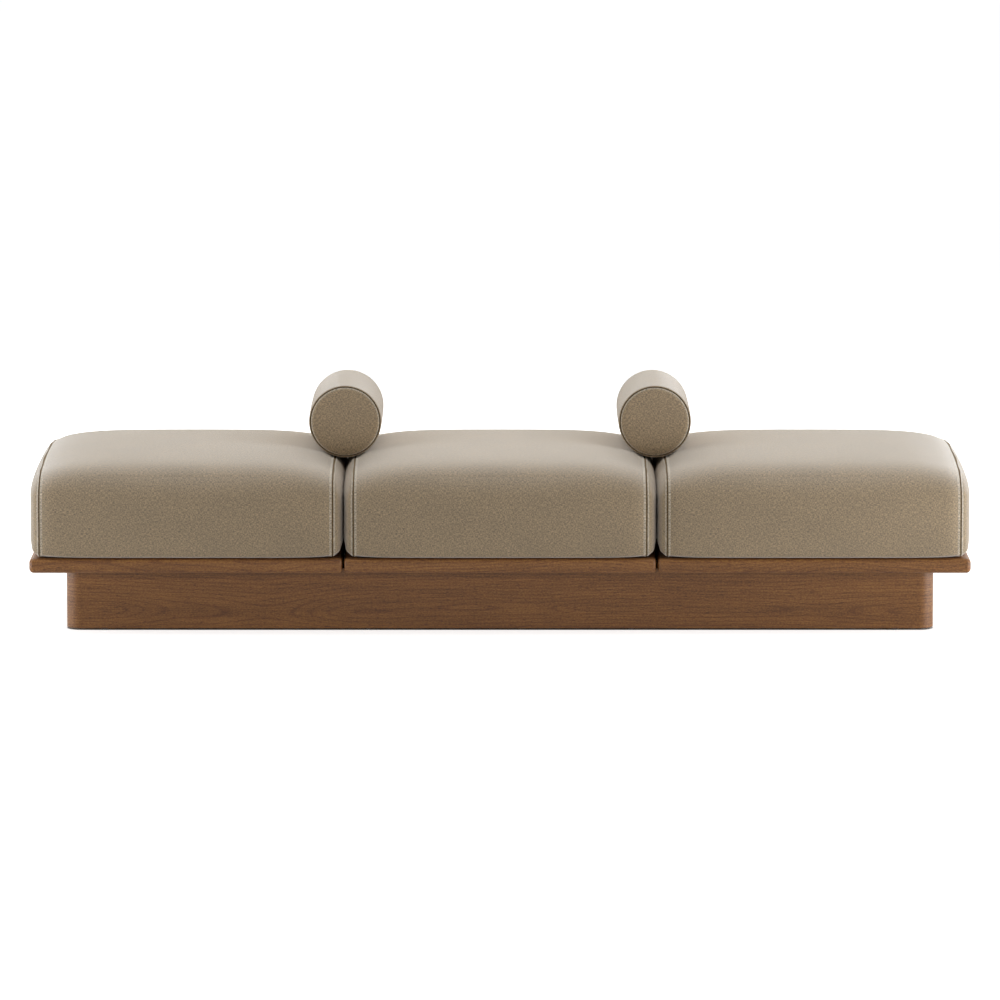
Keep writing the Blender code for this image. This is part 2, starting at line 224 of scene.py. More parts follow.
linen = {
    "colour": (0.390, 0.265, 0.127),
    "pitch": 0.0020,  # metres from thread to thread
    "fleckLong": 0.0062,
    "fleckWide": 0.0015,
    "heather": 0.665,  # how far single threads stray from the colour
    "lightThread": (0.98, 1.0, 1.06),  # the light ones are a little cooler
    "hollow": (0.10, 0.96),  # depth of the dark between threads, and the level it swings round
    "sheen": 0.95,
    "bump": 0.0004,
}


def wovenFinish(name, cloth, shade=1.0, sheen=1.0):
    finish, tree, shader = newFinish(name)
    where = uvPlace(tree, "cloth")
    # slubs: thick and thin places along the weft and the warp
    along, across = 1 / cloth["fleckLong"], 1 / cloth["fleckWide"]
    weft = noise(tree, stretched(tree, where, (along, across, 1)), 1.0, 3.0, 0.6)
    warp = noise(tree, stretched(tree, where, (across, along, 1), (7.3, 2.1, 0)), 1.0, 3.0, 0.6)
    slub = addMath(tree, "ADD", weft, warp)
    # plain weave: the product of two sines puts warp and weft on top in turn
    turns = math.pi / cloth["pitch"]
    waves = [addMath(tree, "MULTIPLY", side, turns) for side in splitAxes(tree, where)[:2]]
    weave = addMath(tree, "MULTIPLY", *(addMath(tree, "SINE", wave) for wave in waves))
    # colour: heathered threads, a darker hollow between them, and slow clouding over a panel
    base = tuple(shade * part for part in cloth["colour"])
    stray = cloth["heather"]
    threads = ramp(tree, addMath(tree, "MULTIPLY", slub, 0.5), [
        (0.40, tuple(part * (1 - stray) for part in base)),
        (0.50, base),
        (0.60, tuple(part * (1 + stray) * tint for part, tint in zip(base, cloth["lightThread"]))),
    ])
    woven = tinted(tree, threads, addMath(tree, "MULTIPLY_ADD", weave, *cloth["hollow"]))
    cloud = ramp(tree, noise(tree, where, 9.0, 3.0, 0.55), [(0.30, 0.93), (0.70, 1.06)])
    tree.links.new(tinted(tree, woven, cloud), shader.inputs["Base Color"])
    addBump(tree, shader, addMath(tree, "MULTIPLY_ADD", slub, 0.9, weave), 0.55, cloth["bump"])
    setSockets(shader, {
        "Roughness": 0.92,
        "Specular IOR Level": 0.05,
        "Sheen Weight": cloth["sheen"] * sheen,
        "Sheen Roughness": 0.70,
        "Sheen Tint": (1.0, 0.98, 0.94, 1),
    })
    return finish


walnut = {
    "dark": (0.152, 0.059, 0.0145),
    "middle": (0.270, 0.113, 0.0285),
    "light": (0.410, 0.183, 0.049),
    "ring": 0.0085,  # metres from one ring to the next
    "ringShade": (0.68, 0.59, 0.53),
    "heart": 0.078,  # where the heart of the log lies across the board
    "wander": 0.05,  # how far the rings stray across the board
    "sway": (0.44, 0.30),  # and into it, the level they sway round and how far
    "streak": (12.0, 330),  # repeats in a metre, along and across the grain
    "band": (1.5, 30),
    "speck": (190, 300),
    "shares": (0.28, 0.27, 0.45),  # of streaks, bands and specks in the figure
    "poreLong": 0.018,
    "poreWide": 0.0018,
    "poreShade": (0.52, 0.42, 0.36),
}
pine = dict(walnut, dark=(0.36, 0.22, 0.105), middle=(0.52, 0.355, 0.190), light=(0.62, 0.455, 0.265),
            ring=0.006, heart=0.110, poreLong=0.045, poreWide=0.0020)


def grainNoise(tree, where, repeats, detail=3.0, rough=0.7):
    along, across = repeats
    return noise(tree, stretched(tree, where, (along, across, across)), 1.0, detail, rough)


def woodFinish(name, wood, source, shade=1.0, shift=(0, 0, 0), deckShadow=None):
    finish, tree, shader = newFinish(name)
    where = uvPlace(tree, "grain") if source == "grain" else objectPlace(tree)
    where = stretched(tree, where, (1, 1, 1), shift)
    # growth rings round the heart of the log, which wanders along the board
    axes = splitAxes(tree, where)
    wander = grainNoise(tree, where, (1.6, 7.0), 2.0, 0.5)
    across = addMath(tree, "ADD", axes[1], addMath(tree, "MULTIPLY", wander, wood["wander"]))
    across = addMath(tree, "SUBTRACT", across, wood["heart"])
    level, swing = wood["sway"]
    sway = noise(tree, stretched(tree, where, (0.9, 0, 0), (4.2, 0, 0)))
    sway = addMath(tree, "MULTIPLY", addMath(tree, "SUBTRACT", sway, level), swing)
    deep = addMath(tree, "ADD", axes[2], sway)
    squares = [addMath(tree, "MULTIPLY", side, side) for side in (across, deep)]
    ring = addMath(tree, "SQRT", addMath(tree, "ADD", *squares))
    ring = addMath(tree, "FRACT", addMath(tree, "DIVIDE", ring, wood["ring"]))
    line = wood["ringShade"]
    rings = ramp(tree, ring, [(0.0, line), (0.20, 0.99), (0.55, 1.04), (0.85, 0.99), (1.0, line)])
    # figure: streaks, slow bands and specks
    streak = grainNoise(tree, where, wood["streak"])
    band = grainNoise(tree, where, wood["band"], 3.0, 0.6)
    speck = grainNoise(tree, where, wood["speck"], 2.0)
    grains = zip((streak, band, speck), wood["shares"])
    weighed = [addMath(tree, "MULTIPLY", grain, share) for grain, share in grains]
    figure = addMath(tree, "ADD", weighed[0], addMath(tree, "ADD", weighed[1], weighed[2]))
    tone = ramp(tree, figure, [
        (place, tuple(shade * part for part in wood[key]))
        for place, key in ((0.40, "dark"), (0.50, "middle"), (0.60, "light"))])
    tone = tinted(tree, tone, rings)
    # open pores: short dark dashes along the grain
    dash = grainNoise(tree, where, (1 / wood["poreLong"], 1 / wood["poreWide"]), 1.0, 0.5)
    tone = tinted(tree, tone, ramp(tree, dash, [(0.32, wood["poreShade"]), (0.41, 1.0)]))
    if deckShadow:  # painted shade: the wood is darkened up under the deck, where the deck's overhang shades it
        start, end, least = deckShadow
        fade = tree.nodes.new("ShaderNodeMapRange")
        setSockets(fade, {"From Min": start, "From Max": end, "To Min": 1.0, "To Max": least})
        tree.links.new(axes[1], fade.inputs["Value"])
        tone = tinted(tree, tone, fade.outputs[0])
    tree.links.new(tone, shader.inputs["Base Color"])
    tree.links.new(ramp(tree, figure, [(0.35, 0.50), (0.65, 0.40)]), shader.inputs["Roughness"])
    relief = addMath(tree, "ADD", dash, addMath(tree, "MULTIPLY", streak, 0.5))
    addBump(tree, shader, relief, 0.25, 0.0002)
    shader.inputs["Specular IOR Level"].default_value = 0.40
    return finish


zincSteel = {
    "grain": (900.0, 3.0, 0.6),  # scale, detail and roughness of the noise
    "colours": ((0.50, 0.50, 0.48), (0.66, 0.66, 0.63)),
    "rough": (0.42, 0.28),
    "metal": 1.0,
    "bump": 0,
}
blackNylon = {
    "grain": (1400.0, 2.0, 0.5),
    "colours": ((0.016, 0.016, 0.017), (0.026, 0.026, 0.027)),
    "rough": (0.60, 0.48),
    "metal": 0.0,
    "bump": 0.0001,
}


def grainedFinish(name, look):
    finish, tree, shader = newFinish(name)
    grain = noise(tree, objectPlace(tree), *look["grain"])
    for socket, (low, high) in (("Base Color", look["colours"]), ("Roughness", look["rough"])):
        tree.links.new(ramp(tree, grain, [(0.3, low), (0.7, high)]), shader.inputs[socket])
    shader.inputs["Metallic"].default_value = look["metal"]
    if look["bump"]:
        addBump(tree, shader, grain, 0.2, look["bump"])
    return finish


seatFabric = wovenFinish("woven_fabric", linen)
seamFabric = wovenFinish("seam_shadow", linen, 0.66, 0.2)
# painted highlight: a paler copy of the cloth, for the ridges beside a seam and the rim beside a bolster's
# ring
ridgeHighlight = wovenFinish("seam_ridge_highlight", dict(linen, colour=(0.56, 0.45, 0.30)))
# painted shade: a dark copy of the cloth for the welt cord, standing for the shade of the groove it lies in
weltShade = wovenFinish("seam_welt", linen, 0.28, 0.1)
underCloth = wovenFinish("base_cloth", dict(
    linen, colour=(0.050, 0.046, 0.042), pitch=0.0011, fleckLong=0.008, fleckWide=0.0014,
    heather=0.175, sheen=0.2, bump=0.0002))
frameWood = woodFinish("frame_timber", pine, "object")
zinc = grainedFinish("zinc_steel", zincSteel)
nylon = grainedFinish("glide_plastic", blackNylon)
print("finishes ready")


# seat cushions

cushion = {
    "halfWidth": 0.373,  # middle to the sewn edge
    "halfDepth": 0.394,
    "height": 0.228,
    "crown": 0.025,
    "dome": 0.022,
    "belly": 0.005,
    "shoulder": (0.105, 0.072),  # how the top rolls over to the front, depth and drop
    "square": 2.5,  # 2 is a plain ellipse, more is squarer
    "foot": 0.009,
    "cornerLift": 0.006,
    "pitch": 0.800,  # from one seat to the next
    "clearance": 0.0001,  # neighbours close up to this
    "roll": (0.004, 0.025),  # how the front turns in towards the sewn edge, drop and reach
    "sideBulge": 0.0270,
    "endBulge": 0.0268,  # the free ends stand out a little less
    "endLift": 0.022,  # and keep their height longer
    "reach": (0.018, 0.046, 0.044),  # how soon a side fills out, from the front, top and foot
    "lastReach": (0.120, 0.056),  # and how soon its last part does, from front and top
    "lastShare": 0.28,
    "cuts": (55, 43, 43),
    "crowding": 1.38,  # closer rows near the sewn edges
    "endCrowding": 1.23,
    "slack": 0.0035,  # less full before it is stuffed
    "slackShares": (0.6, 0.5),  # of that, at front and back, and at the sides
    "pressure": 1.8,
    "frames": 20,
    "mostSwell": 0.0065,
    "settling": 40,
    "pressing": 8,
    "cheek": (0.0055, 0.034),  # how far front and back stand out from the sewn edge, and how soon
    "seamDepth": 0.0024,
    "seamRidge": 0.0008,
    "seamSink": 0.0035,  # how far the top seam lies below the stuffed top beside it
    "dent": 0.0068,
    "dentReach": 0.030,
    "dentRunout": 0.050,
}
atFace = 0.9999  # a point of the cube past this lies on its face


def ease(t):
    t = min(max(t, 0.0), 1.0)
    return t * t * (3 - 2 * t)


def quarterRound(t):
    return math.sqrt(1 - (1 - min(t, 1.0)) ** 2)


def crowd(t):
    return math.copysign(1 - (1 - abs(t)) ** cushion["crowding"], t)


def nearSeam(u, run):
    # 1 at the sewn edge, down to 0 at this distance from it
    short = max(1 - cushion["halfWidth"] * (1 - abs(u)) / run, 0.0)
    return short * short


def cushionPoint(u, v, w, bottom):
    c = cushion
    halfY, halfZ = c["halfDepth"], c["height"] / 2
    reach = max(abs(v), abs(w), hair)
    y, z = v / reach * halfY, w / reach * halfZ
    roundY, roundZ = c["shoulder"] if z > 0 else (c["foot"], c["foot"])
    coreY = max(min(y, halfY - roundY), roundY - halfY)
    coreZ = max(min(z, halfZ - roundZ), roundZ - halfZ)
    leanY, leanZ = (y - coreY) / roundY, (z - coreZ) / roundZ
    if leanY and leanZ:
        square = c["square"]
        lean = (abs(leanY) ** square + abs(leanZ) ** square) ** (1 / square)
        y, z = coreY + roundY * leanY / lean, coreZ + roundZ * leanZ / lean
    height = ease((z + halfZ) / (2 * halfZ))
    upper, lower = max(z / halfZ, 0.0), max(-z / halfZ, 0.0)
    z += upper * (c["crown"] * (1 - u ** 6) - c["dome"] * (y / halfY) ** 2)
    z += lower * c["cornerLift"] * abs(u * v / reach) ** 8
    drop, run = c["roll"]
    y -= (c["belly"] * u * u + drop * nearSeam(u, run)) * (y / halfY) * height
    # less full than the finished cushion, so that the stuffing has something to do
    slack = c["slack"] * (1 - u ** 6)
    z -= slack * upper
    y -= slack * c["slackShares"][0] * (y / halfY) * height
    inward = 1 - reach  # rows of an end panel keep step with its seam, then close in on the middle
    y *= 1 - inward * (halfZ / halfY + (1 - halfZ / halfY) * inward * inward)
    z *= reach
    return Vector((u * c["halfWidth"], y, z + bottom + halfZ))


def fullness(point, outline):
    # how far an end panel stands out at this point, and the way to the nearest bit of its seam
    nearest = min(outline, key=lambda spot: (spot.y - point.y) ** 2 + (spot.z - point.z) ** 2)
    way = Vector((nearest.y - point.y, nearest.z - point.z))
    far = way.length
    if far < hair / 10:
        return 0.0, Vector((0, 0))
    way /= far
    front, top, foot = cushion["reach"]
    lastFront, lastTop = cushion["lastReach"]
    reach = front * way.x ** 2 + (top if way.y > 0 else foot) * way.y ** 2
    last = lastFront * way.x ** 2 + lastTop * way.y ** 2
    share = cushion["lastShare"]
    return (1 - share) * quarterRound(far / reach) + share * quarterRound(far / last), way


def cubeOfCloth():
    pickNothing()
    bpy.ops.mesh.primitive_cube_add(size=2, location=(0, 0, 0))
    piece = bpy.context.object
    piece.name = "seat_cushion"
    openMesh(piece, "EDGE")
    for axis, cuts in enumerate(cushion["cuts"]):
        pickEdges(piece, lambda a, b: abs(a[axis] - b[axis]) > 1.0)
        bpy.ops.mesh.subdivide(number_cuts=cuts)
    # the two ends are panels of their own, sewn on all round
    pickEdges(piece, lambda a, b: min(abs(a.x), abs(b.x)) > atFace and a.x * b.x > 0 and (
        min(abs(a.y), abs(b.y)) > atFace or min(abs(a.z), abs(b.z)) > atFace))
    bpy.ops.mesh.mark_seam(clear=False)
    closeMesh()
    return piece


def crowdedRows(mesh):
    cube = []
    for vertex in mesh.vertices:
        u, v, w = (crowd(t) for t in vertex.co)
        if abs(u) > atFace:  # the end panels turn fast beside the seam, so their rows lie closer there
            ring = max(abs(v), abs(w), hair)
            closer = (1 - (1 - ring) ** cushion["endCrowding"]) / ring
            v, w = v * closer, w * closer
        cube.append((u, v, w))
    return cube


def rowOf(v, w):
    return round(v, 5), round(w, 5)


def clothLengths(rows, bottom):
    # the cloth runs unbroken over the top: how much of it lies before each row
    lengths, length, last = {}, 0.0, None
    for row in rows:
        point = cushionPoint(0, *row, bottom)
        length += (point - last).length if last else 0.0
        lengths[row], last = length, point
    return lengths


def fillPanels(cube, spots, rows, bottom):
    # the end panels stand out from their seams, and the turned-in rim adds to their flat size
    seam = [cushionPoint(1, *row, bottom) for row in rows]
    sewn = []
    for spot, after in zip(seam, seam[1:] + seam[:1]):
        sewn += [spot.lerp(after, part / 6) for part in range(6)]
    flat, furthest = {}, {}
    for i, (u, v, w) in enumerate(cube):
        if abs(u) > atFace:
            full, way = fullness(spots[i], sewn)
            if not way.length:  # on the seam, so look outwards from just inside it
                inside = cushionPoint(u, 0.98 * v, 0.98 * w, bottom)
                way = Vector((spots[i].y - inside.y, spots[i].z - inside.z)).normalized()
            furthest[i] = cushion["halfWidth"] + cushion["sideBulge"] * full
            slack = cushion["slackShares"][1] * cushion["slack"] * full
            spots[i].x = math.copysign(furthest[i] - slack, u)
            flat[i] = Vector((spots[i].y, spots[i].z)) + way * cushion["sideBulge"] * (1 - full)
    return flat, furthest


def layCloth(mesh, cube, spots, flat, lengths):
    layer = mesh.uv_layers[0]
    layer.name = "cloth"
    for face in mesh.polygons:
        corners = [cube[i] for i in face.vertices]
        onEnd = all(abs(u) > atFace for u, v, w in corners)
        below = all(w < -atFace for u, v, w in corners)
        for loop, i, (u, v, w) in zip(face.loop_indices, face.vertices, corners):
            if onEnd:
                layer.data[loop].uv = flat[i]
            elif below:
                layer.data[loop].uv = (spots[i].x, spots[i].y)
            else:
                layer.data[loop].uv = (spots[i].x, lengths[rowOf(v, w)])


def evened(moves, near, i):
    around = sum((moves[j] for j in near[i]), Vector()) / len(near[i])
    return (moves[i] + around) / 2


def stuff(piece):
    start = [vertex.co.copy() for vertex in piece.data.vertices]
    pickOnly(piece)
    cloth = piece.modifiers.new("stuffing", "CLOTH")
    cloth.settings.quality = 6
    cloth.settings.mass = 0.3
    cloth.settings.tension_stiffness = 25
    cloth.settings.compression_stiffness = 25
    cloth.settings.shear_stiffness = 10
    cloth.settings.bending_stiffness = 1.5
    cloth.settings.air_damping = 6
    cloth.settings.use_pressure = True
    cloth.settings.uniform_pressure_force = cushion["pressure"]
    cloth.settings.vertex_group_mass = "held"
    cloth.settings.effector_weights.gravity = 0
    cloth.collision_settings.use_collision = False
    cloth.point_cache.frame_end = cushion["frames"]
    for step in range(1, cushion["frames"] + 1):
        scene.frame_set(step)
    bpy.ops.object.modifier_apply(modifier=cloth.name)
    scene.frame_set(1)
    most = cushion["mostSwell"]
    moves = []
    for vertex, before in zip(piece.data.vertices, start):
        move = vertex.co - before
        if move.length > hair / 10:  # the filling holds the cloth back softly
            move *= most * math.tanh(move.length / most) / move.length
        moves.append(move)
    print("stuffed", piece.name, "longest move", round(max(move.length for move in moves), 4))
    # no creases: each bit of the cover moves about as far as the cover round it
    near = [[] for spot in start]
    for edge in piece.data.edges:
        a, b = edge.vertices
        near[a].append(b)
        near[b].append(a)
    held = piece.vertex_groups["held"].index
    loose = [all(link.group != held for link in vertex.groups) for vertex in piece.data.vertices]
    for turn in range(cushion["settling"]):
        moves = [evened(moves, near, i) if loose[i] else move for i, move in enumerate(moves)]
    for vertex, before, move in zip(piece.data.vertices, start, moves):
        vertex.co = before + move


def pressFlat(piece):
    pickOnly(piece)
    pressed = piece.modifiers.new("pressed", "SMOOTH")
    pressed.vertex_group = "cover"
    pressed.factor = 0.5
    pressed.iterations = cushion["pressing"]
    bpy.ops.object.modifier_apply(modifier="pressed")


def fillCheeks(mesh, cube, bottom):
    # front and back stand out from their sewn edges, and the seam lies a little lower than the top
    full, run = cushion["cheek"]
    ways = [vertex.normal.y for vertex in mesh.vertices]
    middleZ = bottom + cushion["height"] / 2
    for vertex, way, (u, v, w) in zip(mesh.vertices, ways, cube):
        if abs(u) < atFace and w > -atFace:
            vertex.co.y += full * (1 - nearSeam(u, run)) * way
        high = ease(3 * (vertex.co.z - middleZ) / middleZ)
        vertex.co.z -= cushion["seamSink"] * nearSeam(u, run) * high


def modelCushion(bottom):
    piece = cubeOfCloth()
    mesh = piece.data
    cube = crowdedRows(mesh)
    rows = sorted({rowOf(v, w) for u, v, w in cube if max(abs(v), abs(w)) > atFace},
                  key=lambda row: math.atan2(*row))
    spots = [cushionPoint(*point, bottom) for point in cube]
    flat, furthest = fillPanels(cube, spots, rows, bottom)
    layCloth(mesh, cube, spots, flat, clothLengths(rows, bottom))
    held = piece.vertex_groups.new(name="held")
    cover = piece.vertex_groups.new(name="cover")
    for vertex, spot, (u, v, w) in zip(mesh.vertices, spots, cube):
        vertex.co = spot
        onSeam = abs(u) > atFace and max(abs(v), abs(w)) > atFace
        if onSeam or w < -atFace:
            held.add([vertex.index], 1.0, "REPLACE")
        elif abs(u) < atFace:
            cover.add([vertex.index], 1.0, "REPLACE")
    stuff(piece)
    pressFlat(piece)
    for i, most in furthest.items():  # the end panels stay clear of the next seat
        mesh.vertices[i].co.x = math.copysign(min(abs(mesh.vertices[i].co.x), most), cube[i][0])
    fillCheeks(mesh, cube, bottom)
    return piece


def pickSeams(piece, rows):
    bpy.ops.mesh.select_all(action="DESELECT")
    mesh = bmesh.from_edit_mesh(piece.data)
    for edge in mesh.edges:
        if edge.seam:
            edge.verts[0].select_set(True)
            edge.verts[1].select_set(True)
    mesh.select_flush_mode()
    bmesh.update_edit_mesh(piece.data)
    for row in range(rows):
        bpy.ops.mesh.select_more()


def sewSeams(piece):
    ridge = cushion["seamRidge"]
    openMesh(piece, "VERT")
    # a groove between two soft ridges
    for rows, rise in ((2, ridge), (1, ridge), (0, -cushion["seamDepth"])):
        pickSeams(piece, rows)
        bpy.ops.transform.shrink_fatten(value=rise)
    # painted light at the seam: the rows beside it get the paler painted-highlight cloth, and the groove the
    # darker painted-shadow cloth
    for slot, rows in ((2, 3), (1, 1)):
        pickSeams(piece, rows)
        piece.active_material_index = slot
        bpy.ops.object.material_slot_assign()
    closeMesh()


def dentOf(x, y, sides, front, back):
    past = max(front - y, y - back, 0.0)
    along = 1 - ease(past / cushion["dentRunout"])
    across = max(1 - ease((cushion["halfWidth"] - side * x) / cushion["dentReach"]) for side in sides)
    return cushion["dent"] * along * across


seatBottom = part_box("seat_cover_middle")[0].z
master = modelCushion(seatBottom)
for fabric in (seatFabric, seamFabric, ridgeHighlight):
    master.data.materials.append(fabric)
pickOnly(master)
rounding = master.modifiers.new("rounding", "SUBSURF")
rounding.levels = 1
rounding.render_levels = 1
bpy.ops.object.modifier_apply(modifier="rounding")
sewSeams(master)
print("cushion modelled:", len(master.data.polygons), "faces")

joinedSides = {"left": (1,), "middle": (-1, 1), "right": (-1,)}
halfPitch = (cushion["pitch"] - cushion["clearance"]) / 2
front, back = (corner.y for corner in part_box("bolster_cover_left"))
halfHeight = cushion["height"] / 2
for place, seat in enumerate(seatNames):
    piece = copyPiece(master, "seat_cushion_" + seat)
    for vertex in piece.data.vertices:
        p = vertex.co
        upper = max((p.z - seatBottom) / halfHeight - 1, 0.0)
        p.z = max(p.z - upper * dentOf(p.x, p.y, joinedSides[seat], front, back), seatBottom)
        side = 1 if p.x > 0 else -1
        p.x = max(min(p.x, halfPitch), -halfPitch)
        if side not in joinedSides[seat]:
            out = min(abs(p.x) / cushion["halfWidth"], 1.0)
            p.z += min(upper, 1.0) * cushion["endLift"] * (out ** 6 - out ** 8)
            past = max(abs(p.x) - cushion["halfWidth"], 0.0)
            p.x -= side * past * (1 - cushion["endBulge"] / cushion["sideBulge"])
        p.x += (place - 1) * cushion["pitch"]
    finishPiece(piece, "seat_" + seat, None, ["seat_cover_" + seat, "seat_foam_" + seat], 60)
bpy.data.objects.remove(master)
print("seat cushions placed")


# base cloths, under the cushions

baseCloth = {"hem": 0.012, "fold": 0.0009, "foldWidth": 0.0015, "wall": 0.0012, "cuts": 24}

for seat in seatNames:
    low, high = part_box("seat_base_cloth_" + seat)
    pickNothing()
    bpy.ops.mesh.primitive_grid_add(x_subdivisions=baseCloth["cuts"], y_subdivisions=baseCloth["cuts"],
                                    size=1, location=(low + high) / 2, scale=(1, 1, 1))
    cloth = bpy.context.object
    cloth.name = "seat_underside_" + seat
    cloth.data.name = cloth.name
    size = high - low
    cloth.scale = (size.x, size.y, 1)
    bpy.ops.object.transform_apply(location=True, rotation=True, scale=True)
    openMesh(cloth, "FACE")
    bpy.ops.mesh.select_all(action="SELECT")
    bpy.ops.mesh.inset(thickness=baseCloth["hem"], depth=0)
    # the hem is turned over once
    bpy.ops.mesh.inset(thickness=baseCloth["foldWidth"], depth=-baseCloth["fold"])
    closeMesh()
    layer = cloth.data.uv_layers[0]
    layer.name = "cloth"
    for face in cloth.data.polygons:
        for loop, i in zip(face.loop_indices, face.vertices):
            layer.data[loop].uv = cloth.data.vertices[i].co.xy
    pickOnly(cloth)
    wall = cloth.modifiers.new("wall", "SOLIDIFY")
    wall.thickness = baseCloth["wall"]
    wall.offset = 0
    bpy.ops.object.modifier_apply(modifier="wall")
    finishPiece(cloth, "seat_" + seat, [underCloth], ["seat_base_cloth_" + seat], 40)
print("base cloths placed")


# bolsters

bolster = {
    "steps": 96,
    "edge": 0.006,
    "edgeSteps": 6,
    "tubeSteps": 14,
    "seam": 0.0050,  # from the tube's outside to the ring seam
    "dome": 0.005,
    "domeSteps": 12,
    "domeFall": 0.25,  # share of the dome that is gone where the rim starts
    "turn": 0.013,  # width of the rounded rim of an end panel
    "tuck": 0.0016,  # how far the rim turns in at the ring
    "rimHighlight": 0.0042,  # painted highlight: a lighter band of the rim, along the ring
    "groove": (0.0004, 0.0022),  # under the ring, half its width and its depth
    "lip": ((0.0012, 0.0006), (0.0020, 0.0)),  # the tube's edge outside the ring, out and down
    "endDepth": 0.0012,  # cloth no further in than this lies flat on the end
    "barrel": 0.0008,
    "welt": 0.0017,
    "weltSink": 0.0014,
    "weltCloth": (0.55, 0.009),  # metres of cloth round and across the ring
}


def bolsterOutline(radius, half):
    # from the middle of one end panel, over the tube, to the middle of the other
    b = bolster
    seamRadius = radius - b["seam"]
    flat = seamRadius - b["turn"]
    outline = []
    for step in range(b["domeSteps"] + 1):
        part = step / b["domeSteps"]
        outline.append((flat * part, half + b["dome"] * (1 - b["domeFall"] * part ** 2)))
    grooveHalf, grooveDepth = b["groove"]
    width = b["turn"] - 2 * grooveHalf
    rise = b["dome"] * (1 - b["domeFall"]) + b["tuck"]
    for turn in (15, 30, 45, 60, 75, 88):  # the stuffed panel turns down into the ring seam
        angle = math.radians(turn)
        outline.append((flat + width * math.sin(angle), half - b["tuck"] + rise * math.cos(angle)))
    outline += [(seamRadius + side, half - grooveDepth) for side in (-grooveHalf, grooveHalf)]
    outline += [(seamRadius + out, half - down) for out, down in b["lip"]]
    inner, outer = outline[-1][0], radius - b["barrel"]
    for step in range(1, b["edgeSteps"] + 1):
        angle = math.pi / 2 * step / b["edgeSteps"]
        outline.append((inner + (outer - inner) * math.sin(angle), half - b["edge"] * (1 - math.cos(angle))))
    for step in range(1, b["tubeSteps"] + 1):
        y = (half - b["edge"]) * (1 - step / b["tubeSteps"])
        outline.append((radius - b["barrel"] * (y / half) ** 2, y))
    return outline + [(r, -y) for r, y in reversed(outline[:-1])]


def modelBolster(name):
    low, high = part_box("bolster_cover_" + name)
    middle = (low + high) / 2
    radius, half = (high.x - low.x) / 2, (high.y - low.y) / 2
    seamRadius = radius - bolster["seam"]
    outline = bolsterOutline(radius, half)
    pickNothing()
    mesh = bpy.data.meshes.new("bolster_" + name)
    mesh.from_pydata([(middle.x, middle.y - y, middle.z + r) for r, y in outline],
                     [(i, i + 1) for i in range(len(outline) - 1)], [])
    piece = bpy.data.objects.new("bolster_" + name, mesh)
    scene.collection.objects.link(piece)
    openMesh(piece, "VERT")
    bpy.ops.mesh.select_all(action="SELECT")
    bpy.ops.mesh.spin(steps=bolster["steps"], angle=2 * math.pi, center=middle, axis=(0, 1, 0))
    bpy.ops.mesh.select_all(action="SELECT")
    bpy.ops.mesh.remove_doubles(threshold=hair / 2)
    bpy.ops.mesh.normals_make_consistent(inside=False)
    closeMesh()
    mesh.materials.append(seatFabric)
    mesh.materials.append(ridgeHighlight)
    layer = mesh.uv_layers.new(name="cloth")
    for face in mesh.polygons:
        centre = face.center - middle
        onEnd = abs(centre.y) > half - bolster["endDepth"]
        # painted highlight on the rim band next to the ring seam
        if onEnd and seamRadius - bolster["rimHighlight"] < math.hypot(centre.x, centre.z) < seamRadius:
            face.material_index = 1
        spots = [mesh.vertices[i].co - middle for i in face.vertices]
        turns = [math.atan2(p.x, p.z) for p in spots]
        wraps = max(turns) - min(turns) > math.pi
        for loop, p, turn in zip(face.loop_indices, spots, turns):
            if onEnd:
                layer.data[loop].uv = (p.x, p.z)
            else:
                layer.data[loop].uv = ((turn + 2 * math.pi if wraps and turn < 0 else turn) * radius, p.y)
    return piece, middle, half, seamRadius


for name in bolsterNames:
    piece, middle, half, seamRadius = modelBolster(name)
    finishPiece(piece, "bolster_" + name, None,
                ["bolster_cover_" + name, "bolster_front_panel_" + name,
                 "bolster_rear_panel_" + name, "bolster_core_" + name], 60)
    for end, sign in (("front", -1), ("rear", 1)):
        pickNothing()
        bpy.ops.mesh.primitive_torus_add(
            location=(middle.x, middle.y + sign * (half - bolster["weltSink"]), middle.z),
            rotation=(math.pi / 2, 0, 0), major_radius=seamRadius, minor_radius=bolster["welt"],
            major_segments=128, minor_segments=10, generate_uvs=True)
        ring = bpy.context.object
        ring.name = "bolster_" + end + "_ring_" + name
        ring.data.name = ring.name
        bpy.ops.object.transform_apply(location=True, rotation=True, scale=True)
        ring.data.uv_layers[0].name = "cloth"
        for corner in ring.data.uv_layers[0].data:
            corner.uv = [part * length for part, length in zip(corner.uv, bolster["weltCloth"])]
        finishPiece(ring, "bolster_" + name, [weltShade],
                    ["bolster_" + end + "_welt_" + name], 60)
print("bolsters placed")


# deck boards

deck = {
    "edge": 0.012,
    "edgeSteps": 8,
    "jointEdge": 0.008,
    "jointSteps": 4,
    "planed": 0.0010,  # taken off the edges at a joint
    "shade": 0.95,
    "grainShift": Vector((3.7, 0.45, 0.31)),  # from one board's figure to the next
}


def atAny(places, a, b):
    return any(abs(a.x - x) + abs(b.x - x) < hair for x in places)


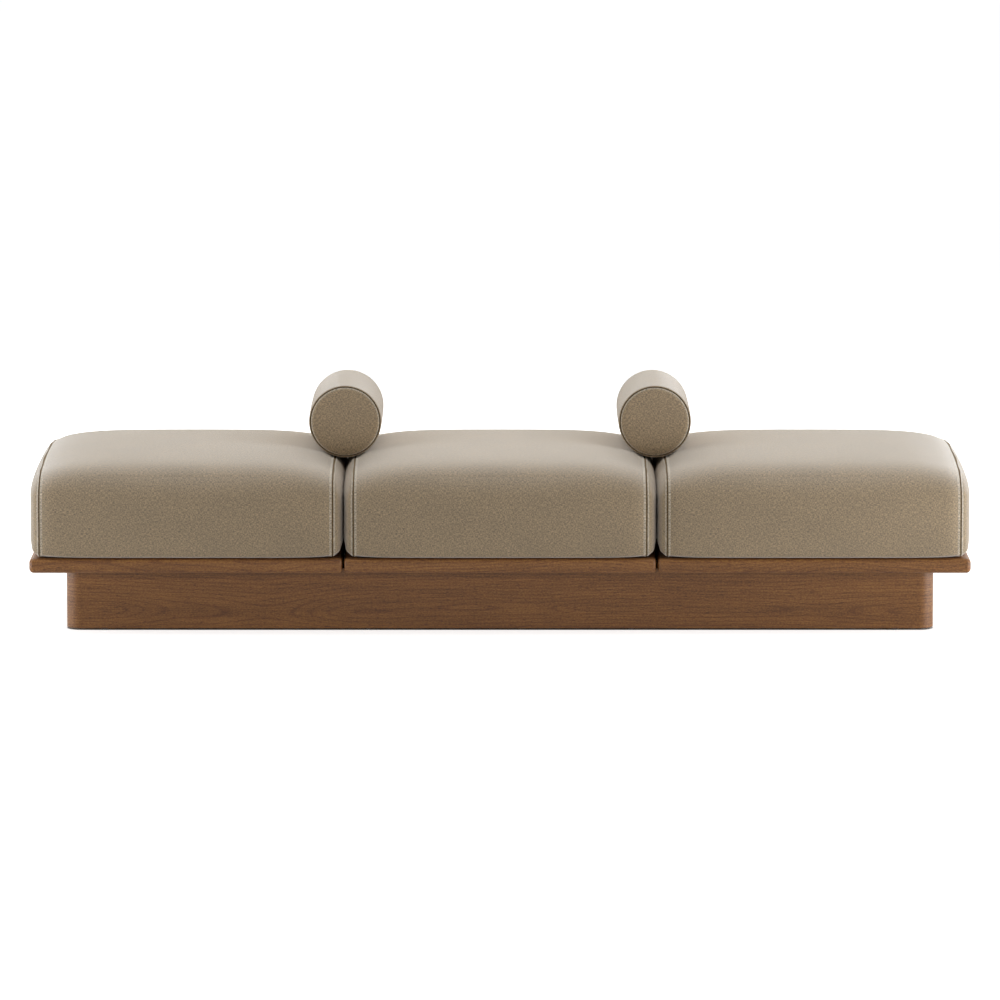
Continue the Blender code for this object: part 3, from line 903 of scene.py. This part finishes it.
def modelDeck(seat):
    low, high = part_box("deck_" + seat)
    if seat != "left":
        low.x += deck["planed"]
    if seat != "right":
        high.x -= deck["planed"]
    board = addBlock("deck_board_" + seat, low, high)
    openEnds = {"left": (low.x,), "middle": (), "right": (high.x,)}[seat]
    joints = [x for x in (low.x, high.x) if x not in openEnds]
    openMesh(board, "EDGE")
    pickEdges(board, lambda a, b: abs(a.x - b.x) > 0.1 or atAny(openEnds, a, b))
    bpy.ops.mesh.bevel(offset=deck["edge"], segments=deck["edgeSteps"], profile=0.5, affect="EDGES")
    pickEdges(board, lambda a, b: atAny(joints, a, b))
    bpy.ops.mesh.bevel(offset=deck["jointEdge"], segments=deck["jointSteps"], profile=0.5, affect="EDGES")
    closeMesh()
    return board


for place, seat in enumerate(seatNames):
    board = modelDeck(seat)
    paint = woodFinish("walnut_deck_" + seat, walnut, "object", deck["shade"], place * deck["grainShift"])
    finishPiece(board, "base", [paint], ["deck_" + seat], 40)
print("deck boards placed")


# plinth skin

skin = {
    "corner": 0.038,
    "cornerSteps": 14,
    "wall": 0.0015,
    "shade": 0.92,
    "deckShadow": (0.030, 0.012, 0.70),  # painted shade under the deck's overhang: where it starts and ends below the top, and how dark
}
timbers = ("plinth_front", "plinth_back", "plinth_left", "plinth_right", "plinth_corner",
           "front_batten", "back_batten", "cross_bearer")
skinLow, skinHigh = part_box("plinth_veneer_wrap")


def modelSkin(low, high):
    wrap = addBlock("plinth_skin", low, high)
    openMesh(wrap, "EDGE")
    pickEdges(wrap, lambda a, b: abs(a.z - b.z) > 0.05)
    bpy.ops.mesh.bevel(offset=skin["corner"], segments=skin["cornerSteps"], profile=0.5, affect="EDGES")
    bpy.ops.mesh.select_mode(type="FACE")
    pickFaces(wrap, lambda centre, normal: abs(normal.z) > 0.9)
    bpy.ops.mesh.delete(type="FACE")
    closeMesh()
    # the grain runs unbroken round the corners
    mesh = wrap.data
    layer = mesh.uv_layers[0]
    layer.name = "grain"
    halfX, halfY = (high.x - low.x) / 2 - skin["corner"], (high.y - low.y) / 2 - skin["corner"]
    arc = math.pi / 2 * skin["corner"]

    def around(p):
        side = abs(p.x) - halfX
        deep = abs(p.y) - halfY
        if p.y < 0 and side <= 0:
            return p.x
        run = halfX + (math.atan2(max(side, 0), max(deep, 0)) / (math.pi / 2)) * arc
        if deep <= 0 or p.y > 0:
            run = halfX + arc + (p.y + halfY if deep <= 0 else 2 * halfY)
        if p.y > 0 and deep > 0:
            run += (math.atan2(max(deep, 0), max(side, 0)) / (math.pi / 2)) * arc
            if side <= 0:
                run += halfX - abs(p.x)
        return math.copysign(run, p.x)
    for face in mesh.polygons:
        for loop, i in zip(face.loop_indices, face.vertices):
            p = mesh.vertices[i].co
            layer.data[loop].uv = (around(p), p.z)
    pickOnly(wrap)
    wall = wrap.modifiers.new("wall", "SOLIDIFY")
    wall.thickness = skin["wall"]
    wall.offset = -1
    wall.use_even_offset = True
    bpy.ops.object.modifier_apply(modifier="wall")
    return wrap


# painted shade along the top of the skin, under the deck's overhang
start, end, least = skin["deckShadow"]
skinWood = woodFinish("walnut_veneer", walnut, "grain", skin["shade"],
                      deckShadow=(skinHigh.z - start, skinHigh.z - end, least))
wrap = modelSkin(skinLow, skinHigh)
finishPiece(wrap, "base", [skinWood], ["plinth_veneer_wrap"], 30)
for name, node in frame["nodes"].items():
    if name.startswith(timbers):
        node.data.materials.clear()
        node.data.materials.append(frameWood)
print("plinth skinned")


# glides and screws

glide = {
    "steps": 32,
    "pad": 0.004,
    "edge": 0.0009,
    "nailHole": 0.0039,
    "holeDepth": 0.0012,
    "nailGap": 0.0006,
    "nailRise": 0.0005,
    "stem": 0.002,
    "point": (0.002, 0.3),  # its length, and how much of the stem's width is left
}
screw = {
    "steps": 24,
    "head": 0.003,
    "edge": 0.0012,
    "socket": 0.0032,
    "socketDepth": 0.0018,
    "shank": 0.0025,
    "ribs": 8,  # they stand for the thread
    "core": 0.8,  # between two ribs, as a share of the shank
    "point": 0.15,
}


def startTurned(low, high, steps, thick, edge):
    # a disc with a rounded rim, left open with its lower face picked
    middle = (low + high) / 2
    radius = (high.x - low.x) / 2
    pickNothing()
    bpy.ops.mesh.primitive_cylinder_add(vertices=steps, radius=radius, depth=thick,
                                        location=(middle.x, middle.y, low.z + thick / 2))
    piece = bpy.context.object
    bpy.ops.object.transform_apply(location=True, rotation=True, scale=True)
    openMesh(piece, "EDGE")
    pickEdges(piece, lambda a, b: max(a.z, b.z) < low.z + hair)
    bpy.ops.mesh.bevel(offset=edge, segments=4, profile=0.5, affect="EDGES")
    bpy.ops.mesh.select_mode(type="FACE")
    pickFaces(piece, lambda centre, normal: normal.z < -0.999 and centre.z < low.z + hair)
    return piece, middle, radius


def pickTop(piece, level):
    pickFaces(piece, lambda centre, normal: normal.z > 0.9 and centre.z > level - hair)


def pull(rise):
    bpy.ops.mesh.extrude_region_move(TRANSFORM_OT_translate={"value": (0, 0, rise)})


def narrow(share, centre):
    bpy.ops.transform.resize(value=(share, share, 1), center_override=centre)


def modelGlide(low, high):
    piece, middle, radius = startTurned(low, high, glide["steps"], glide["pad"], glide["edge"])
    # a sunk nail head under the pad, and the stem above it
    bpy.ops.mesh.inset(thickness=radius - glide["edge"] - glide["nailHole"])
    pull(glide["holeDepth"])
    bpy.ops.mesh.inset(thickness=glide["nailGap"])
    pull(-glide["nailRise"])
    pickTop(piece, low.z + glide["pad"])
    bpy.ops.mesh.inset(thickness=radius - glide["stem"])
    length, share = glide["point"]
    pull(high.z - low.z - glide["pad"] - length)
    pull(length)
    narrow(share, (middle.x, middle.y, high.z))
    closeMesh()
    return piece, middle


def modelScrew(low, high):
    piece, middle, radius = startTurned(low, high, screw["steps"], screw["head"], screw["edge"])
    bpy.ops.mesh.inset(thickness=radius - screw["edge"] - screw["socket"])
    pull(screw["socketDepth"])
    pickTop(piece, low.z + screw["head"])
    bpy.ops.mesh.inset(thickness=radius - screw["shank"])
    tip = (middle.x, middle.y, high.z)
    step = (high.z - low.z - screw["head"]) / (2 * screw["ribs"] + 2)
    for rib in range(screw["ribs"]):
        pull(step)
        narrow(screw["core"], tip)
        pull(step)
        narrow(1 / screw["core"], tip)
    pull(2 * step)
    narrow(screw["point"], tip)
    closeMesh()
    return piece, middle


def spreadCopies(first, model, paint, body, wanted):
    pattern, middle = model(*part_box(first))
    for name in sorted(frame["nodes"]):
        if name.startswith(wanted):
            low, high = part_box(name)
            twin = copyPiece(pattern, name + "_finished", (low + high) / 2 - middle)
            finishPiece(twin, body, [paint], [name], 40)
    bpy.data.objects.remove(pattern)


spreadCopies("glide_front_1", modelGlide, nylon, "base", "glide_")
spreadCopies("deck_screw_left_1", modelScrew, zinc, "base", "deck_screw_")
print("glides and screws placed")


# floor, light and camera

studio = {
    "cameraPlace": (0, -17.19, 2.7795),
    "cameraPitch": 8.236,  # degrees below level
    "lens": 240.15,
    "ambient": 0.01,
    "floorSize": 120,
    "floorColour": (0.80, 0.80, 0.79, 1),
    "glow": {"From Min": 1.6, "From Max": 3.2, "To Min": 0.75, "To Max": 1.0},  # by metres from the middle
    "lowLight": (0.95, 1.0, 1.10),  # colour of the two low softboxes
}


def seenDirectly(tree):
    rays = tree.nodes.new("ShaderNodeLightPath").outputs
    seen = addMath(tree, "MAXIMUM", rays["Is Camera Ray"], rays["Is Glossy Ray"])
    return addMath(tree, "MAXIMUM", seen, rays["Is Transmission Ray"])


pickNothing()
bpy.ops.mesh.primitive_plane_add(size=studio["floorSize"], location=(0, 0, 0))
floor = bpy.context.object
floor.name = "studio_floor"
floorFinish, tree, shader = newFinish("pale_floor")
setSockets(shader, {
    "Base Color": studio["floorColour"],
    "Roughness": 1.0,
    "Specular IOR Level": 0.0,
    "Emission Color": (1, 1, 1, 1),
})
# white far away, and the floor's own shading close to the sofa
where = objectPlace(tree)
distance = tree.nodes.new("ShaderNodeVectorMath")
distance.operation = "LENGTH"
tree.links.new(where, distance.inputs[0])
fade = tree.nodes.new("ShaderNodeMapRange")
setSockets(fade, studio["glow"])
tree.links.new(distance.outputs["Value"], fade.inputs["Value"])
# no glow in the narrow gap under the plinth
past = []
for side, edge in zip(splitAxes(tree, where)[:2], (skinHigh.x, skinHigh.y)):
    over = addMath(tree, "SUBTRACT", addMath(tree, "ABSOLUTE", side), edge - skin["corner"])
    past.append(addMath(tree, "POWER", addMath(tree, "MAXIMUM", over, 0.0), 2.0))
clear = addMath(tree, "GREATER_THAN", addMath(tree, "ADD", *past), skin["corner"] ** 2)
glow = addMath(tree, "MULTIPLY", addMath(tree, "MULTIPLY", seenDirectly(tree), fade.outputs[0]), clear)
tree.links.new(glow, shader.inputs["Emission Strength"])
floor.data.materials.append(floorFinish)

world = bpy.data.worlds.new("studio")
scene.world = world
world.use_nodes = True
tree = world.node_tree
sky = tree.nodes["Background"]
sky.inputs["Color"].default_value = (1, 1, 1, 1)
level = tree.nodes.new("ShaderNodeMapRange")
setSockets(level, {"To Min": studio["ambient"], "To Max": 1.0})
tree.links.new(seenDirectly(tree), level.inputs["Value"])
tree.links.new(level.outputs[0], sky.inputs["Strength"])


def addSoftbox(name, place, aim, size, power, colour=(1, 1, 1)):
    turn = (Vector(aim) - Vector(place)).to_track_quat("-Z", "Y").to_euler()
    pickNothing()
    bpy.ops.object.light_add(type="AREA", location=place, rotation=turn)
    box = bpy.context.object
    box.name = name
    box.data.shape = "RECTANGLE"
    box.data.size, box.data.size_y = size
    box.data.energy = power
    box.data.color = colour
    box.visible_camera = False


addSoftbox("top_softbox", (0, 0.6, 3.6), (0, 0, 0.3), (6.0, 3.4), 57)
addSoftbox("back_softbox", (0, 3.2, 2.9), (0, 0.2, 0.4), (6.0, 2.6), 150)
addSoftbox("front_softbox", (0, -6.0, 0.55), (0, 0, 0.3), (8.0, 0.7), 27)
addSoftbox("left_softbox", (-3.6, -0.8, 2.5), (-0.4, 0, 0.35), (2.6, 2.2), 39)
addSoftbox("left_low_softbox", (-3.6, -0.7, 0.30), (-0.8, 0, 0.30), (2.4, 0.5), 35, studio["lowLight"])
addSoftbox("right_softbox", (3.6, -1.4, 2.5), (0.4, 0, 0.35), (2.6, 2.2), 51)
addSoftbox("right_low_softbox", (3.6, -0.9, 0.30), (0.8, 0, 0.30), (2.4, 0.5), 53, studio["lowLight"])

bpy.ops.object.camera_add(location=studio["cameraPlace"],
                          rotation=(math.radians(90 - studio["cameraPitch"]), 0, 0))
camera = bpy.context.object
camera.data.lens = studio["lens"]
camera.data.sensor_width = 36
camera.data.clip_end = 200
scene.camera = camera
scene.view_settings.view_transform = "Standard"
print("studio ready")
